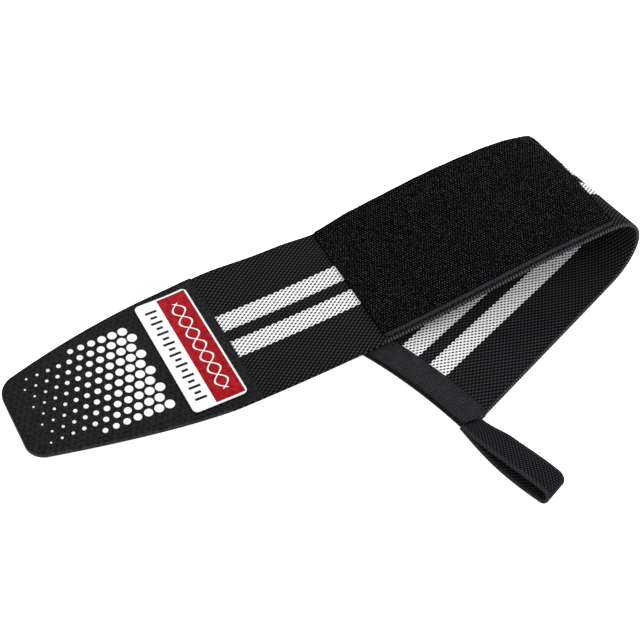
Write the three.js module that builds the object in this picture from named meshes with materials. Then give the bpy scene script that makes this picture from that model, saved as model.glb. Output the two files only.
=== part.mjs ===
// A wrist wrap lying folded on a table: a broad elastic band with a stiff tab at one end and a
// thumb loop at the other. The tab lies flat on the left, the band runs from it to the right and
// climbs a little, turns over in one soft bend, and its return run comes back underneath at an
// angle, flat on the table.
//
// Every piece but the thumb loop follows one surface, the middle of the band. A place on it is
// given as on the band laid flat: "along" counts millimetres from the end of the tab, and "across"
// counts from the middle line, positive towards the viewer. The band is bent about parallel lines
// that stand at a small skew to its width, so a section cut square to those lines is the same
// everywhere, and that section is the profile below.
import * as THREE from 'three';

// Driving dimensions, in millimetres and degrees
const BAND_WIDTH = 76;
const BAND_THICKNESS = 1.9;
const PIECE_GAP = 0.3;

const TAB_LENGTH = 105;
const TAB_END_WIDTH = 41;
const TAB_CORNER_RADIUS = 7;
const TAPER_LENGTH = 95;
const TAPER_POWER = 1.6;
const COVER_THICKNESS = 1.2;
const HOOK_THICKNESS = 1.35;
const HOOK_INSET = 1;
const BAND_LAP = 15;

const LABEL_LENGTH = 27;
const LABEL_WIDTH = 67;
const LABEL_THICKNESS = 0.6;
const LABEL_MARGIN = 5.5;
const LABEL_CORNER_RADIUS = 2.5;

const PILE_LENGTH = 132;
const PILE_THICKNESS = 1.5;
const PILE_TO_TAB = 65.5;
const PILE_BORDER = 2;

const BEND_START = 287;
const BEND_LENGTH = 67;
const BEND_SKEW = 10.4;
const RETURN_LENGTH = 130.5;

const BINDING_WIDTH = 15;
const TAPE_THICKNESS = 0.8;
const CORNER_TUCK = 5;
const ARCH_HEIGHT = 4.6;

const STRAP_WIDTH = 13.5;
const STRAP_HEM_WIDTH = 10.5;
const STRAP_THICKNESS = 1.5;
const LOOP_REACH = 47.5;
const LOOP_HEIGHT = 8.6;
const LOOP_SLANT = 7.2;
// The strap's two runs change height at their start, this many times as fast as over their length
const UPPER_RISE_RATE = 1.1;
const LOWER_FALL_RATE = 2;
// The hem gathers the strap, and it widens this many times as fast as over its length
const WIDENING_RATE = 2.5;

// How the slope of the climbing run changes. from and to are shares of the run between the place
// where it leaves the table and the bend, and turn is a share of the steepest slope.
const CLIMB = [
  { name: 'rise', from: 0.0, to: 0.92, turn: 1.0 },
  { name: 'ease', from: 0.75, to: 0.97, turn: -0.46 },
];

// Steps of the meshes
const FLAT_STEP = 8;
const BEND_STEP = 3.2;
const EDGE_STEPS = 8;
const ARC_STEPS = 6;

// Steps of the search for a profile that rests on the table and on the binding
const HALVINGS = 30;
const ROOM_ROWS = 4;
const ROOM_COLUMNS = 16;
const EDGE_MARGIN = 1;

// Sizes that follow from the ones above
const HALF_WIDTH = BAND_WIDTH / 2;
const HALF_BAND = BAND_THICKNESS / 2;
const SKEW = THREE.MathUtils.degToRad(BEND_SKEW);
const COS_SKEW = Math.cos(SKEW);
const SIN_SKEW = Math.sin(SKEW);
const WRAP_LENGTH = BEND_START + BEND_LENGTH / COS_SKEW + RETURN_LENGTH;
const BINDING_START = WRAP_LENGTH - BINDING_WIDTH;
const HALF_BINDING = HALF_BAND + PIECE_GAP + TAPE_THICKNESS;
const TAB_HEIGHT = HOOK_THICKNESS + PIECE_GAP + HALF_BAND;
const PILE_START = TAB_LENGTH + PILE_TO_TAB;
const PILE_END = PILE_START + PILE_LENGTH;

const smooth = (share) => {
  const s = THREE.MathUtils.clamp(share, 0, 1);
  return s * s * (3 - 2 * s);
};

// The profile

// The slope at distance t along the profile, for a run that leaves the table at riseStart
function slopeAt(t, riseStart, steepest) {
  const bendStart = BEND_START * COS_SKEW;
  const run = bendStart - riseStart;
  const climbed = (share) => CLIMB.reduce(
    (sum, section) => sum + section.turn * smooth((share - section.from) / (section.to - section.from)),
    0,
  );
  const crest = steepest * climbed(1);
  const turned = smooth((t - bendStart) / BEND_LENGTH);
  return steepest * climbed((t - riseStart) / run) - (Math.PI + crest) * turned;
}

// The section of the band's middle, as lists of x and z at even steps of t from 0
const PROFILE_STEP = 0.5;
const PROFILE_LENGTH = WRAP_LENGTH + BAND_WIDTH;

function integrateProfile(riseStart, steepest) {
  const profile = { x: [0], z: [TAB_HEIGHT], slope: [0] };
  for (let t = PROFILE_STEP; t < PROFILE_LENGTH; t += PROFILE_STEP) {
    const middle = slopeAt(t - PROFILE_STEP / 2, riseStart, steepest);
    profile.x.push(profile.x.at(-1) + PROFILE_STEP * Math.cos(middle));
    profile.z.push(profile.z.at(-1) + PROFILE_STEP * Math.sin(middle));
    profile.slope.push(slopeAt(t, riseStart, steepest));
  }
  return profile;
}

// Halves an interval until wanted(value) changes sign in it
function solve(low, high, wanted) {
  let [a, b] = [low, high];
  for (let step = 0; step < HALVINGS; step += 1) {
    const middle = (a + b) / 2;
    if (wanted(middle) > 0) b = middle;
    else a = middle;
  }
  return (a + b) / 2;
}

// The steepest slope is the one that brings the return run down to the table after the bend
function restingProfile(riseStart) {
  const heightAtEnd = (angle) => integrateProfile(riseStart, angle).z.at(-1);
  const steepest = solve(0, 1, (angle) => heightAtEnd(angle) - HALF_BAND);
  return integrateProfile(riseStart, steepest);
}

const sample = (list, t) => {
  const place = THREE.MathUtils.clamp(t / PROFILE_STEP, 0, list.length - 1.001);
  const index = Math.floor(place);
  return THREE.MathUtils.lerp(list[index], list[index + 1], place - index);
};

// The surface of the band

// Half the band's width at a place along it: its corners are drawn in a little by the binding
function halfWidthAt(along) {
  const share = Math.max(0, (along - BINDING_START) / BINDING_WIDTH);
  return HALF_WIDTH - CORNER_TUCK * share * share;
}

// The return run rises to the binding's own thickness and arches across its width towards the hem
function archAt(along, across) {
  const grown = smooth((along - (WRAP_LENGTH - RETURN_LENGTH)) / RETURN_LENGTH);
  const side = across / HALF_WIDTH;
  return grown * (HALF_BINDING - HALF_BAND + ARCH_HEIGHT * Math.max(0, 1 - side * side));
}

// The point that lies height above the band's middle, on the side that faces up along the tab
function bandPoint(profile, along, across, height) {
  const t = along * COS_SKEW - across * SIN_SKEW;
  const r = along * SIN_SKEW + across * COS_SKEW;
  // Before the profile starts the tab goes straight on
  const before = Math.min(0, t);
  const slope = sample(profile.slope, t);
  const x = sample(profile.x, t) + before - height * Math.sin(slope);
  const z = sample(profile.z, t) + height * Math.cos(slope) + archAt(along, across);
  return new THREE.Vector3(x * COS_SKEW + r * SIN_SKEW, x * SIN_SKEW - r * COS_SKEW, z);
}

// The room left between the climbing run and the binding that lies under it
function roomOverBinding(profile) {
  const rising = profile.x.slice(0, profile.x.indexOf(Math.max(...profile.x)));
  let room = Infinity;
  for (let along = BINDING_START; along <= WRAP_LENGTH; along += BINDING_WIDTH / ROOM_ROWS) {
    for (let share = -1; share <= 1; share += 1 / ROOM_COLUMNS) {
      const across = share * halfWidthAt(along);
      const below = bandPoint(profile, along, across, -HALF_BINDING);
      const x = below.x * COS_SKEW + below.y * SIN_SKEW;
      const r = below.x * SIN_SKEW - below.y * COS_SKEW;
      const t = rising.findIndex((value) => value >= x) * PROFILE_STEP;
      const acrossRun = r * COS_SKEW - t * SIN_SKEW;
      if (Math.abs(acrossRun) > HALF_WIDTH + EDGE_MARGIN) continue;
      room = Math.min(room, sample(profile.z, t) - HALF_BAND - below.z);
    }
  }
  return room;
}

// The run leaves the table just early enough to lie on the binding
const RISE_START = solve(
  -TAB_LENGTH,
  BEND_START / 2,
  (start) => PIECE_GAP - roomOverBinding(restingProfile(start)),
);
const PROFILE = restingProfile(RISE_START);
const band = (along, across, height) => bandPoint(PROFILE, along, across, height);

// Meshes

// Places from start to end, close together where the band bends
function stations(start, end) {
  const reach = HALF_WIDTH * Math.tan(SKEW);
  const bends = [BEND_START - reach, BEND_START + BEND_LENGTH / COS_SKEW + reach];
  const stops = [start, ...bends.filter((stop) => stop > start && stop < end), end];
  const places = [start];
  for (let k = 1; k < stops.length; k += 1) {
    const bending = stops[k] > bends[0] + EDGE_MARGIN && stops[k - 1] < bends[1] - EDGE_MARGIN;
    const count = Math.ceil((stops[k] - stops[k - 1]) / (bending ? BEND_STEP : FLAT_STEP));
    for (let i = 1; i <= count; i += 1) {
      places.push(THREE.MathUtils.lerp(stops[k - 1], stops[k], i / count));
    }
  }
  return places;
}

// A closed solid between two faces of one grid: place(row, share, side) gives a point, where row is
// a value of rows, share goes from -1 to 1 over the columns, and side is 1 on one face and -1 on
// the other
function sheetSolid(rows, columns, place) {
  const points = [];
  for (const side of [1, -1]) {
    for (const row of rows) {
      for (let j = 0; j <= columns; j += 1) {
        points.push(place(row, (2 * j) / columns - 1, side));
      }
    }
  }
  const width = columns + 1;
  const face = rows.length * width;
  const faces = [];
  const quad = (a, b, c, d) => faces.push(a, b, c, a, c, d);
  for (let i = 0; i < rows.length - 1; i += 1) {
    for (let j = 0; j < columns; j += 1) {
      const a = i * width + j;
      quad(a, a + 1, a + width + 1, a + width);
      quad(face + a, face + a + width, face + a + width + 1, face + a + 1);
    }
    const [near, far] = [i * width, i * width + columns];
    quad(near, near + width, face + near + width, face + near);
    quad(far + width, far, face + far, face + far + width);
  }
  for (let j = 0; j < columns; j += 1) {
    const end = (rows.length - 1) * width + j;
    quad(j + 1, j, face + j, face + j + 1);
    quad(end, end + 1, face + end + 1, face + end);
  }
  return solidGeometry(points, faces);
}

// Turns the faces outward where the grid runs the other way round
function solidGeometry(points, faces) {
  let volume = 0;
  for (let k = 0; k < faces.length; k += 3) {
    const [a, b, c] = [points[faces[k]], points[faces[k + 1]], points[faces[k + 2]]];
    volume += a.dot(b.clone().cross(c));
  }
  const geometry = new THREE.BufferGeometry().setFromPoints(points);
  geometry.setIndex(volume > 0 ? faces : faces.reverse());
  return geometry;
}

const SURFACES = {
  elastic: { color: 0x17171a, roughness: 0.88, metalness: 0 },
  grainedCover: { color: 0x1a1a1d, roughness: 0.62, metalness: 0 },
  hook: { color: 0x101012, roughness: 0.8, metalness: 0 },
  label: { color: 0xb5121f, roughness: 0.5, metalness: 0 },
  pile: { color: 0x0c0c0e, roughness: 0.97, metalness: 0 },
  tape: { color: 0x1c1c1f, roughness: 0.8, metalness: 0 },
};

function piece(name, geometry, surface) {
  const mesh = new THREE.Mesh(geometry, new THREE.MeshStandardMaterial(SURFACES[surface]));
  mesh.name = name;
  return mesh;
}

// The pieces

const BAND_START = TAB_LENGTH - BAND_LAP;

function elasticBand() {
  const end = WRAP_LENGTH - TAPE_THICKNESS - PIECE_GAP;
  const place = (along, share, side) => band(along, share * halfWidthAt(along), side * HALF_BAND);
  return sheetSolid(stations(BAND_START, end), EDGE_STEPS, place);
}

// Half the tab's width: it narrows from the band's width to the end, whose corners are round
function tabHalfWidthAt(along) {
  const left = Math.max(0, 1 - along / TAPER_LENGTH);
  const narrowed = (HALF_WIDTH - TAB_END_WIDTH / 2) * left ** TAPER_POWER;
  const inside = Math.max(0, TAB_CORNER_RADIUS - along);
  const corner = TAB_CORNER_RADIUS - Math.sqrt(TAB_CORNER_RADIUS ** 2 - inside ** 2);
  return HALF_WIDTH - narrowed - corner;
}

// Places along the tab, close together round its end corners
function tabStations(extra) {
  const corner = [];
  for (let i = 0; i < ARC_STEPS; i += 1) {
    corner.push(TAB_CORNER_RADIUS * (1 - Math.cos((Math.PI / 2) * (i / ARC_STEPS))));
  }
  return [...corner, ...stations(TAB_CORNER_RADIUS, TAB_LENGTH), ...extra].sort((a, b) => a - b);
}

// The cover is padded: it fills the tab's thickness as far as the band's end, and laps over the
// band from there
function tabCover() {
  const top = HALF_BAND + PIECE_GAP + COVER_THICKNESS;
  const stepEnd = BAND_START - PIECE_GAP;
  const stepStart = stepEnd - PIECE_GAP;
  const underside = (along) => (along <= stepStart ? -HALF_BAND : HALF_BAND + PIECE_GAP);
  const place = (along, share, side) => band(
    along,
    share * tabHalfWidthAt(along),
    side > 0 ? top : underside(along),
  );
  return sheetSolid(tabStations([stepStart, stepEnd]), EDGE_STEPS, place);
}

function hookPatch() {
  const top = -HALF_BAND - PIECE_GAP;
  const place = (along, share, side) => {
    const inset = THREE.MathUtils.lerp(HOOK_INSET, 0, along / TAB_LENGTH);
    const half = tabHalfWidthAt(along) - HOOK_INSET;
    return band(along + inset, share * half, side > 0 ? top : top - HOOK_THICKNESS);
  };
  return sheetSolid(tabStations([]), EDGE_STEPS, place);
}

const LABEL_END = TAB_LENGTH - LABEL_MARGIN;

function labelPatch() {
  const start = LABEL_END - LABEL_LENGTH;
  const rows = [];
  for (let i = 0; i <= ARC_STEPS; i += 1) {
    rows.push(LABEL_CORNER_RADIUS * (1 - Math.cos((Math.PI / 2) * (i / ARC_STEPS))));
  }
  for (let i = ARC_STEPS; i >= 0; i -= 1) rows.push(LABEL_LENGTH - rows[i]);
  const bottom = HALF_BAND + PIECE_GAP + COVER_THICKNESS + PIECE_GAP;
  const place = (row, share, side) => {
    const inside = Math.max(0, LABEL_CORNER_RADIUS - Math.min(row, LABEL_LENGTH - row));
    const left = Math.max(0, LABEL_CORNER_RADIUS ** 2 - inside ** 2);
    const half = LABEL_WIDTH / 2 - LABEL_CORNER_RADIUS + Math.sqrt(left);
    return band(start + row, share * half, side > 0 ? bottom + LABEL_THICKNESS : bottom);
  };
  return sheetSolid(rows, EDGE_STEPS, place);
}

// The pile covers the band up to its far edge, and leaves the near edge bare
function loopPilePatch() {
  const bottom = HALF_BAND + PIECE_GAP;
  const place = (along, share, side) => {
    const across = THREE.MathUtils.lerp(-HALF_WIDTH, HALF_WIDTH - PILE_BORDER, (share + 1) / 2);
    return band(along, across, side > 0 ? bottom + PILE_THICKNESS : bottom);
  };
  return sheetSolid(stations(PILE_START, PILE_END), EDGE_STEPS, place);
}

// The tape goes over the band's end from one face to the other: its path is one leg, half a circle
// and one leg
function endBinding() {
  const inner = HALF_BAND + PIECE_GAP;
  const outer = inner + TAPE_THICKNESS;
  const centre = WRAP_LENGTH - outer;
  const rows = [{ along: BINDING_START, turn: Math.PI / 2 }];
  for (let i = 0; i <= ARC_STEPS; i += 1) {
    rows.push({ along: centre, turn: Math.PI / 2 - (Math.PI * i) / ARC_STEPS });
  }
  rows.push({ along: BINDING_START, turn: -Math.PI / 2 });
  const place = (row, share, side) => {
    const radius = side > 0 ? outer : inner;
    const onLeg = row.along < centre || Math.abs(row.turn) === Math.PI / 2;
    // The band's square end needs the inner side of the tape to be square too
    const round = side > 0 ? Math.cos(row.turn) : Number(!onLeg);
    const along = row.along + radius * round;
    return band(along, share * halfWidthAt(along), radius * Math.sin(row.turn));
  };
  return sheetSolid(rows, EDGE_STEPS, place);
}

// The strap leaves the binding sideways, rises a little, turns over and comes back along the table
function thumbLoop() {
  const half = STRAP_THICKNESS / 2;
  const leave = HALF_BINDING + PIECE_GAP / 2 + half;
  const top = LOOP_HEIGHT - half;
  const radius = (top - half) / 2;
  const reach = HALF_WIDTH + LOOP_REACH - radius - half;
  const path = [];
  for (let i = 0; i <= EDGE_STEPS; i += 1) {
    const share = i / EDGE_STEPS;
    const height = THREE.MathUtils.lerp(leave, top, smooth(share * UPPER_RISE_RATE));
    path.push({ share, bulge: 0, height, turn: Math.PI / 2 });
  }
  for (let i = 1; i < 2 * ARC_STEPS; i += 1) {
    const turn = Math.PI / 2 - (Math.PI * i) / (2 * ARC_STEPS);
    const height = half + radius + radius * Math.sin(turn);
    path.push({ share: 1, bulge: radius * Math.cos(turn), height, turn });
  }
  for (let i = EDGE_STEPS; i >= 0; i -= 1) {
    const share = i / EDGE_STEPS;
    const start = HALF_BINDING - PIECE_GAP / 2 - half;
    const height = THREE.MathUtils.lerp(start, half, smooth(share * LOWER_FALL_RATE));
    path.push({ share, bulge: 0, height, turn: -Math.PI / 2 });
  }
  const place = (row, share, side) => {
    const width = THREE.MathUtils.lerp(STRAP_HEM_WIDTH, STRAP_WIDTH, smooth(row.share * WIDENING_RATE));
    const alongAtHem = WRAP_LENGTH - (width / 2) * (1 - share);
    const start = halfWidthAt(alongAtHem) + PIECE_GAP;
    const bulge = row.bulge + side * half * Math.cos(row.turn);
    const out = THREE.MathUtils.lerp(start, reach, row.share) + bulge;
    const along = alongAtHem + (out - start) * Math.tan(THREE.MathUtils.degToRad(LOOP_SLANT));
    return band(along, out, 0).setZ(row.height + side * half * Math.sin(row.turn));
  };
  return sheetSolid(path, 2, place);
}

const wrap = new THREE.Group();
wrap.add(
  piece('elastic_band', elasticBand(), 'elastic'),
  piece('tab_cover', tabCover(), 'grainedCover'),
  piece('hook_patch', hookPatch(), 'hook'),
  piece('label_patch', labelPatch(), 'label'),
  piece('loop_pile_patch', loopPilePatch(), 'pile'),
  piece('end_binding', endBinding(), 'tape'),
  piece('thumb_loop', thumbLoop(), 'tape'),
);

// The origin is in the middle of the whole outline, on the table
const outline = new THREE.Box3().setFromObject(wrap);
const middle = outline.getCenter(new THREE.Vector3());
wrap.position.set(-middle.x, -middle.y, -outline.min.z);

export default wrap;
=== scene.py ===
# %% [markdown]
# # A wrist wrap, folded once on a table
#
# The wrap is a broad knitted elastic band with two white stripes. One end is a stiff tab with a grained
# cover, a printed label and a hook layer under it. A patch of loop pile is sewn on the band's outer face,
# and a tape binds the other end, where a ribbed strap leaves as a thumb loop.
#
# Every soft piece is worked out from one formula: the surface of the folded band. A piece only has to
# know where it lies on the band when the band is flat, and the formula carries it round the fold. That is
# less work than bending each piece with a modifier, and all the pieces keep their true lengths.

# %% Load the fixed frame
import math

import bpy
import numpy as np
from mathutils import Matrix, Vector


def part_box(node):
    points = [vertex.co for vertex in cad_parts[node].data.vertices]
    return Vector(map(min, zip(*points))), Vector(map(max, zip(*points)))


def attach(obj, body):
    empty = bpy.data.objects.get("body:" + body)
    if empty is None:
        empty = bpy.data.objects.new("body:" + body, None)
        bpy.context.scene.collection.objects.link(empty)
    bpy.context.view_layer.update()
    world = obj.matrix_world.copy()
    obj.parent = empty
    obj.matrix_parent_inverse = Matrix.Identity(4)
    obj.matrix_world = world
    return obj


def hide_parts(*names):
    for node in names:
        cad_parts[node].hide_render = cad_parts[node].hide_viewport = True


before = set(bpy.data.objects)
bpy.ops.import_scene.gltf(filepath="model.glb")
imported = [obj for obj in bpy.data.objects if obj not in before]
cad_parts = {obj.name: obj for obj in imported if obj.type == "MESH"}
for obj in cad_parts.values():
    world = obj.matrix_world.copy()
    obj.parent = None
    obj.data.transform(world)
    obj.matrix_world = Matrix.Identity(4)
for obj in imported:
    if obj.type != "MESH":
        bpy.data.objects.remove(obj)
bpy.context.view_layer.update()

print("nodes:", sorted(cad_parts))

# %% [markdown]
# ## Sizes
#
# A sewn thing is a stack of layers, so the sizes that matter are widths, lengths and thicknesses. They
# are the real ones, in metres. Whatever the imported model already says, such as where the tab's end lies
# and how high the fold stands, is read from it and not written a second time.

# %% Sizes of the band and what is sewn on it
MM = 0.001

BAND_WIDTH = 76 * MM
BAND_THICKNESS = 1.9 * MM
LAYER_GAP = 0.3 * MM
HALF_WIDTH = BAND_WIDTH / 2
HALF_BAND = BAND_THICKNESS / 2

TAB_LENGTH = 105 * MM
TAB_END_WIDTH = 41 * MM
TAB_CORNER_RADIUS = 7 * MM
TAPER_LENGTH = 95 * MM
TAPER_POWER = 1.6
COVER_THICKNESS = 1.2 * MM
HOOK_THICKNESS = 1.35 * MM
HOOK_INSET = 1 * MM
BAND_START = 90 * MM

PILE_START = 170.5 * MM
PILE_LENGTH = 132 * MM
PILE_THICKNESS = 1.5 * MM
PILE_BORDER = 2 * MM

BEND_START = 287 * MM
BEND_LENGTH = 67 * MM
BEND_SKEW = math.radians(10.4)
RETURN_LENGTH = 130.5 * MM

BINDING_WIDTH = 15 * MM
TAPE_THICKNESS = 0.8 * MM
CORNER_TUCK = 5 * MM
ARCH_HEIGHT = 4.6 * MM

EDGE_PULLS = [
    {"place": 114 * MM, "reach": 20 * MM, "out": 2.0 * MM},
    {"place": 172 * MM, "reach": 13 * MM, "out": -2.2 * MM},
    {"place": 294 * MM, "reach": 12 * MM, "out": -2.0 * MM},
    {"place": 236 * MM, "reach": 36 * MM, "out": 0.9 * MM},
]
PULL_START = 75 * MM
PULL_GROWTH = 35 * MM
PULL_FROM = 0.3
TAB_DRIFT = 2.7 * MM
DRIFT_LENGTH = 84 * MM
BEND_PUSH = {"place": BEND_START + 15 * MM, "reach": 34 * MM, "out": 1.8 * MM}
PUSH_EDGE = 0.9
PUSH_GROWTH = 1.5

WRAP_LENGTH = BEND_START + BEND_LENGTH / math.cos(BEND_SKEW) + RETURN_LENGTH
BINDING_START = WRAP_LENGTH - BINDING_WIDTH
HALF_BINDING = HALF_BAND + LAYER_GAP + TAPE_THICKNESS
TAB_HEIGHT = HOOK_THICKNESS + LAYER_GAP + HALF_BAND
print("the wrap is", round(WRAP_LENGTH / MM, 1), "mm long")

# %% [markdown]
# ## The folded band as one surface
#
# Seen from the side, the middle of the band is a line: flat under the tab, a slow climb, a soft half
# turn, and a flat run back along the table. A line like that is made from its slope. The slope is a sum
# of smooth steps, and adding up its cosine and sine gives the line, so the band never stretches.
#
# The band is bent about lines that stand at a small skew to its width, so the run that comes back lies at
# an angle to the run on top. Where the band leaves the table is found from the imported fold's height.

# %% The slope and the line that it makes
CLIMB = [
    {"name": "rise", "start": 0.00, "end": 0.92, "turn": 1.00},
    {"name": "ease", "start": 0.75, "end": 0.97, "turn": -0.46},
]
LINE_STEP = 0.5 * MM
PLACES = np.arange(0, WRAP_LENGTH + BAND_WIDTH, LINE_STEP)


def smooth(share):
    """A soft step from 0 to 1: three times the square of the share, less twice its cube."""
    s = np.clip(share, 0, 1)
    return s * s * (3 - 2 * s)


def slope_at(place, rise_start, steepest):
    """The climb's soft steps times the steepest slope, less a half turn over the length of the bend."""
    bend_start = BEND_START * math.cos(BEND_SKEW)

    def climbed(share):
        return sum(
            c["turn"] * smooth((share - c["start"]) / (c["end"] - c["start"])) for c in CLIMB
        )

    run = (place - rise_start) / (bend_start - rise_start)
    turned = smooth((place - bend_start) / BEND_LENGTH)
    return steepest * climbed(run) - (math.pi + steepest * climbed(1.0)) * turned


def line_of(rise_start, steepest):
    """Running sums of the cosine and the sine of the slope, taken at the middle of each step."""
    slope = slope_at(PLACES[1:] - LINE_STEP / 2, rise_start, steepest)
    x = np.concatenate([[0], np.cumsum(np.cos(slope))]) * LINE_STEP
    z = np.concatenate([[0], np.cumsum(np.sin(slope))]) * LINE_STEP + TAB_HEIGHT
    return x, z, slope_at(PLACES, rise_start, steepest)


def halved(low, high, wanted):
    """Halves an interval until it closes on the value where wanted changes sign."""
    for _ in range(30):
        middle = (low + high) / 2
        low, high = (low, middle) if wanted(middle) > 0 else (middle, high)
    return (low + high) / 2


def resting_line(rise_start):
    """The line whose steepest slope brings the run that comes back down to the table."""
    steepest = halved(0, 1, lambda angle: line_of(rise_start, angle)[1][-1] - HALF_BAND)
    return line_of(rise_start, steepest)


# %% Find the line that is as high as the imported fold
cover_low, cover_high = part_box("tab_cover")
table_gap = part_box("hook_patch")[0].z
fold_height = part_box("elastic_band")[1].z - table_gap - HALF_BAND

rise_start = halved(0, BEND_START / 2, lambda start: fold_height - resting_line(start)[1].max())
LINE_X, LINE_Z, LINE_SLOPE = resting_line(rise_start)
ORIGIN = np.array([cover_low.x, cover_high.y - HALF_WIDTH, table_gap])
print("the band leaves the table at", round(rise_start / MM, 1), "mm")
print("steepest slope", round(math.degrees(LINE_SLOPE.max()), 1), "degrees")


# %% Carry a place on the flat band to its place on the folded one
def half_width_at(along):
    """Half the band's width, less the corners' tuck times the square of the way into the binding."""
    share = np.maximum(0, (along - BINDING_START) / BINDING_WIDTH)
    return HALF_WIDTH - CORNER_TUCK * share**2


def bell(along, pull):
    """A bell curve, from the square of the way from the pull's place as a share of the pull's reach."""
    return pull["out"] * np.exp(-(((along - pull["place"]) / pull["reach"]) ** 2))


def far_edge_pull(along):
    """How far the far edge stands out from a straight line: one bell curve for each pull, times a soft
    step. The seam holds the band wide, and the elastic draws in before the pile and at the bend."""
    bells = sum(bell(along, pull) for pull in EDGE_PULLS)
    return bells * smooth((along - PULL_START) / PULL_GROWTH)


def arch_at(along, across):
    """The lift of the run that comes back: a soft step along it, times a parabola across it."""
    grown = smooth((along - (WRAP_LENGTH - RETURN_LENGTH)) / RETURN_LENGTH)
    crown = np.maximum(0, 1 - (across / HALF_WIDTH) ** 2)
    return grown * (HALF_BINDING - HALF_BAND + ARCH_HEIGHT * crown)


def bend_push(along, across):
    """How far the bend stands out at the far side: a bell curve along it, times a soft step across."""
    return bell(along, BEND_PUSH) * smooth((PUSH_EDGE - across / HALF_WIDTH) / PUSH_GROWTH)


def lay(along, across, height=0.0):
    """The point of the folded wrap for a place on the flat band. The far edge is pulled, and the tab's
    end drifts to the near side, by a square. Then the place is turned by the skew, looked up on the line,
    moved off it by the height at a right angle, and turned back. The push of the bend comes last."""
    along, across, height = np.broadcast_arrays(along, across, height)
    towards_edge = (-across / HALF_WIDTH - PULL_FROM) / (1 - PULL_FROM)
    across = across - far_edge_pull(along) * smooth(towards_edge)
    across = across + TAB_DRIFT * np.clip(1 - along / DRIFT_LENGTH, 0, 1) ** 2
    cosine, sine = math.cos(BEND_SKEW), math.sin(BEND_SKEW)
    t = along * cosine - across * sine
    r = along * sine + across * cosine
    slope = np.interp(t, PLACES, LINE_SLOPE)
    x = np.interp(t, PLACES, LINE_X) + np.minimum(t, 0) - height * np.sin(slope)
    z = np.interp(t, PLACES, LINE_Z) + height * np.cos(slope) + arch_at(along, across)
    push = bend_push(along, across)
    return np.stack([x * cosine + r * sine + push, x * sine - r * cosine, z], -1) + ORIGIN


print("far end of the band:", np.round(lay(WRAP_LENGTH, 0.0) / MM, 1), "mm")

# %% [markdown]
# ## Camera, table and light
#
# The wrap is seen from above its near side, with a long lens that turns a little about its own axis. The
# light is that of a product studio: a white table that is lit through from below, so that shadows nearly
# vanish, a bright white room and three soft panels, one of them behind the wrap so that the ribs of the
# black cloth catch a thin light.

# %% Camera
VIEW_AZIMUTH = math.radians(-35.71)
VIEW_ELEVATION = math.radians(50.11)
VIEW_ROLL = math.radians(-8.38)
VIEW_DISTANCE = 597.3 * MM
VIEW_TARGET = np.array([152.6 * MM, -6.0 * MM, 0]) + ORIGIN
SENSOR = 36
FOCAL_SHARE = 1234 / 640


def unit(vector):
    """The vector divided by its own length."""
    return vector / np.linalg.norm(vector, axis=-1, keepdims=True)


def camera_axes():
    """The camera's right, up and back axes: level ones first, then turned about the view by the roll."""
    forward = np.array(
        [
            -math.sin(VIEW_AZIMUTH) * math.cos(VIEW_ELEVATION),
            math.cos(VIEW_AZIMUTH) * math.cos(VIEW_ELEVATION),
            -math.sin(VIEW_ELEVATION),
        ]
    )
    level = np.array([math.cos(VIEW_AZIMUTH), math.sin(VIEW_AZIMUTH), 0])
    down = np.cross(forward, level)
    right = math.cos(VIEW_ROLL) * level + math.sin(VIEW_ROLL) * down
    return right, -np.cross(forward, right), -forward


right, up, back = camera_axes()
view = bpy.data.objects.new("view", bpy.data.cameras.new("view"))
view.data.sensor_width = SENSOR
view.data.lens = SENSOR * FOCAL_SHARE
view.data.clip_start = 0.01
view.data.clip_end = 20
turned = np.eye(4)
turned[:3, :3] = np.stack([right, up, back], -1)
turned[:3, 3] = VIEW_TARGET + back * VIEW_DISTANCE
view.matrix_world = turned.T.tolist()
bpy.context.scene.collection.objects.link(view)
bpy.context.scene.camera = view
bpy.context.scene.view_settings.view_transform = "Standard"
print("camera at", np.round(turned[:3, 3], 3))


# %% Colours and plain materials
def ink(red, green, blue):
    """A colour given by a screen's numbers, from 0 to 255, as light: the usual screen curve."""
    shares = np.array([red, green, blue]) / 255
    light = np.where(shares <= 0.04045, shares / 12.92, ((shares + 0.055) / 1.055) ** 2.4)
    return (*light.tolist(), 1.0)


def plain_material(name, colour, roughness):
    """A material with one colour and one roughness, set on the shader's own sockets."""
    material = bpy.data.materials.new(name)
    material.use_nodes = True
    shader = material.node_tree.nodes["Principled BSDF"]
    shader.inputs["Base Color"].default_value = colour
    shader.inputs["Roughness"].default_value = roughness
    return material


# %% Table
TABLE_SIZE = 6.0
TABLE_GLOW = 0.8
table_mesh = bpy.data.meshes.new("table")
corners = np.array([[-1, -1, 0], [1, -1, 0], [1, 1, 0], [-1, 1, 0]]) * TABLE_SIZE / 2
table_mesh.from_pydata(corners.tolist(), [], [[0, 1, 2, 3]])
lit_table = plain_material("lit_table", ink(244, 244, 245), 0.75)
lit_table.node_tree.nodes["Principled BSDF"].inputs["Emission Color"].default_value = (1, 1, 1, 1)
lit_table.node_tree.nodes["Principled BSDF"].inputs["Emission Strength"].default_value = TABLE_GLOW
table_mesh.materials.append(lit_table)
table = bpy.data.objects.new("table", table_mesh)
bpy.context.scene.collection.objects.link(table)
print("table", TABLE_SIZE, "m wide")

# %% Light
PANELS = [
    {"name": "key", "place": (-0.55, -0.35, 1.15), "width": 0.9, "watts": 5.6},
    {"name": "fill", "place": (0.95, -0.75, 0.85), "width": 1.1, "watts": 4.6},
    {"name": "rim", "place": (0.35, 1.15, 0.75), "width": 1.0, "watts": 6.0},
]
ROOM_LIGHT = 0.67


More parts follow.
